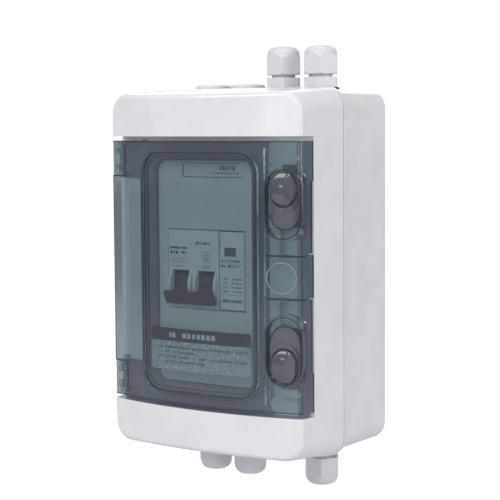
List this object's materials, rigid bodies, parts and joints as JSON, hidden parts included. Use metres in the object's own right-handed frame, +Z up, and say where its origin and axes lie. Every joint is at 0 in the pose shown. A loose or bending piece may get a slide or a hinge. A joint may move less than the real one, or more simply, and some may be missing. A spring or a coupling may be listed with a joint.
{
  "type": "dc combiner box",
  "caption": "Small wall-mounted enclosure with a tinted hinged door, sliding latches, a two-pole breaker, a surge protector and screwed cable glands.",
  "frame": {"origin": "middle of the wall side of the box, which is the middle of the four wall-fixing holes", "axes": "+Z up, +Y into the wall, so the door faces -Y; +X to the right seen from the front"},
  "size_m": [0.14, 0.099, 0.259],
  "materials": {
    "enclosure_abs": "smooth glossy light grey moulding",
    "panel_abs": "smooth light grey moulding",
    "door_tinted": "tinted transparent polycarbonate",
    "latch_tinted": "tinted transparent polycarbonate",
    "seal_rubber": "grey foam rubber",
    "seal_dark": "black rubber",
    "washer_black": "black rubber",
    "label_film": "printed film",
    "steel_zinc": "zinc plated",
    "spring_steel": "drawn wire",
    "rail_steel": "galvanised strip",
    "brass": "turned",
    "copper_parts": "stamped",
    "module_case": "fine satin moulding",
    "toggle_black": "black moulding",
    "clip_nylon": "nylon",
    "gland_nylon": "light grey nylon",
    "flag_green": "coloured flag",
    "clear_window": "clear lens",
    "varistor_coat": "epoxy coating",
    "wire_red": "vinyl insulation",
    "wire_green": "vinyl insulation"
  },
  "bodies": {
    "enclosure": {"base_shell": "enclosure_abs", "front_cover": "enclosure_abs", "cover_gasket": "seal_rubber", "cover_screws": "steel_zinc", "cover_screw_inserts": "brass", "hinge_pins": "steel_zinc", "module_panel": "panel_abs", "din_rail": "rail_steel", "din_rail_screws": "steel_zinc", "terminal_bar_holder": "clip_nylon", "terminal_bar": "brass", "terminal_bar_screws": "steel_zinc", "breaker_arm_shaft": "steel_zinc", "breaker_fixed_contacts": "copper_parts", "breaker_trip_coils": "copper_parts", "breaker_arc_chutes": "steel_zinc", "terminal_clamps": "steel_zinc", "terminal_screws": "steel_zinc", "breaker_rivets": "steel_zinc", "surge_base": "module_case", "surge_jumper_wire": "wire_red", "earth_wire": "wire_green", "entry_washers": "washer_black", "gland_collars": "gland_nylon", "gland_sleeves": "gland_nylon", "latch_keepers": "enclosure_abs", "gland_seals": "seal_rubber", "entry_locknuts": "gland_nylon", "blank_plugs": "gland_nylon", "breaker_pole_1_case_left": "module_case", "breaker_pole_1_case_right": "module_case", "breaker_pole_2_case_left": "module_case", "breaker_pole_2_case_right": "module_case"},
    "door": {"door": "door_tinted", "door_gasket": "seal_dark", "door_label": "label_film", "latch_spring_upper": "spring_steel", "latch_spring_lower": "spring_steel"},
    "latch_upper": {"latch_upper": "latch_tinted"},
    "latch_lower": {"latch_lower": "latch_tinted"},
    "breaker_toggle": {"breaker_toggle_left": "toggle_black", "breaker_toggle_right": "toggle_black", "breaker_toggle_tie_bar": "toggle_black", "breaker_toggle_shaft": "steel_zinc"},
    "breaker_contacts": {"breaker_contact_arms": "copper_parts"},
    "breaker_clips": {"breaker_din_clips": "clip_nylon"},
    "surge_clip": {"surge_din_clip": "clip_nylon"},
    "surge_cartridge": {"surge_cartridge": "module_case", "surge_window": "clear_window", "surge_varistor": "varistor_coat"},
    "surge_flag": {"surge_flag": "flag_green"},
    "gland_claw_1": {"gland_claw_1": "gland_nylon"},
    "gland_nut_1": {"gland_nut_1": "gland_nylon"},
    "gland_claw_2": {"gland_claw_2": "gland_nylon"},
    "gland_nut_2": {"gland_nut_2": "gland_nylon"},
    "gland_claw_3": {"gland_claw_3": "gland_nylon"},
    "gland_nut_3": {"gland_nut_3": "gland_nylon"},
    "gland_claw_4": {"gland_claw_4": "gland_nylon"},
    "gland_nut_4": {"gland_nut_4": "gland_nylon"},
    "gland_claw_5": {"gland_claw_5": "gland_nylon"},
    "gland_nut_5": {"gland_nut_5": "gland_nylon"}
  },
  "joints": [
    {"name": "door_swing", "type": "hinge", "parent": "enclosure", "child": "door", "pos_m": [-0.0605, -0.0858, 0], "axis": [0, 0, -1], "range_deg": [0, 110]},
    {"name": "latch_upper_slide", "type": "slide", "parent": "door", "child": "latch_upper", "axis": [0, 0, -1], "range_m": [0, 0.0045], "stiffness_N_per_m": 150, "springref_m": -0.003, "deforming": ["latch_spring_upper"]},
    {"name": "latch_lower_slide", "type": "slide", "parent": "door", "child": "latch_lower", "axis": [0, 0, 1], "range_m": [0, 0.0045], "stiffness_N_per_m": 150, "springref_m": -0.003, "deforming": ["latch_spring_lower"]},
    {"name": "breaker_toggle_turn", "type": "hinge", "parent": "enclosure", "child": "breaker_toggle", "pos_m": [0, -0.0772, -0.0075], "axis": [-1, 0, 0], "range_deg": [0, 54]},
    {"name": "breaker_contacts_turn", "type": "hinge", "parent": "enclosure", "child": "breaker_contacts", "pos_m": [0, -0.062, -0.009], "axis": [1, 0, 0], "range_deg": [-15, 0]},
    {"name": "breaker_clips_slide", "type": "slide", "parent": "enclosure", "child": "breaker_clips", "axis": [0, 0, -1], "range_m": [0, 0.004]},
    {"name": "surge_clip_slide", "type": "slide", "parent": "enclosure", "child": "surge_clip", "axis": [0, 0, -1], "range_m": [0, 0.004]},
    {"name": "surge_cartridge_pull", "type": "slide", "parent": "enclosure", "child": "surge_cartridge", "axis": [0, -1, 0], "range_m": [0, 0.007]},
    {"name": "surge_flag_drop", "type": "slide", "parent": "surge_cartridge", "child": "surge_flag", "axis": [0, 0, -1], "range_m": [0, 0.0048]},
    {"name": "gland_claw_1_lift", "type": "slide", "parent": "enclosure", "child": "gland_claw_1", "axis": [0, 0, 1], "range_m": [0, 0.0015]},
    {"name": "gland_nut_1_turn", "type": "hinge", "parent": "gland_claw_1", "child": "gland_nut_1", "pos_m": [0.0116, -0.0238, 0.1215], "axis": [0, 0, 1], "range_deg": [0, 360]},
    {"name": "gland_claw_2_lift", "type": "slide", "parent": "enclosure", "child": "gland_claw_2", "axis": [0, 0, 1], "range_m": [0, 0.0015]},
    {"name": "gland_nut_2_turn", "type": "hinge", "parent": "gland_claw_2", "child": "gland_nut_2", "pos_m": [0.0374, -0.0238, 0.1215], "axis": [0, 0, 1], "range_deg": [0, 360]},
    {"name": "gland_claw_3_lift", "type": "slide", "parent": "enclosure", "child": "gland_claw_3", "axis": [0, 0, -1], "range_m": [0, 0.0015]},
    {"name": "gland_nut_3_turn", "type": "hinge", "parent": "gland_claw_3", "child": "gland_nut_3", "pos_m": [-0.04, -0.0238, -0.1215], "axis": [0, 0, -1], "range_deg": [0, 360]},
    {"name": "gland_claw_4_lift", "type": "slide", "parent": "enclosure", "child": "gland_claw_4", "axis": [0, 0, -1], "range_m": [0, 0.0015]},
    {"name": "gland_nut_4_turn", "type": "hinge", "parent": "gland_claw_4", "child": "gland_nut_4", "pos_m": [-0.0142, -0.0238, -0.1215], "axis": [0, 0, -1], "range_deg": [0, 360]},
    {"name": "gland_claw_5_lift", "type": "slide", "parent": "enclosure", "child": "gland_claw_5", "axis": [0, 0, -1], "range_m": [0, 0.0015]},
    {"name": "gland_nut_5_turn", "type": "hinge", "parent": "gland_claw_5", "child": "gland_nut_5", "pos_m": [0.0374, -0.0238, -0.1215], "axis": [0, 0, -1], "range_deg": [0, 360]}
  ],
  "couplings": [
    {"joint": "breaker_contacts_turn", "follows": "breaker_toggle_turn", "ratio": -0.26},
    {"joint": "gland_nut_1_turn", "follows": "gland_claw_1_lift", "rad_per_m": 4188.7},
    {"joint": "gland_nut_2_turn", "follows": "gland_claw_2_lift", "rad_per_m": 4188.7},
    {"joint": "gland_nut_3_turn", "follows": "gland_claw_3_lift", "rad_per_m": 4188.7},
    {"joint": "gland_nut_4_turn", "follows": "gland_claw_4_lift", "rad_per_m": 4188.7},
    {"joint": "gland_nut_5_turn", "follows": "gland_claw_5_lift", "rad_per_m": 4188.7}
  ]
}
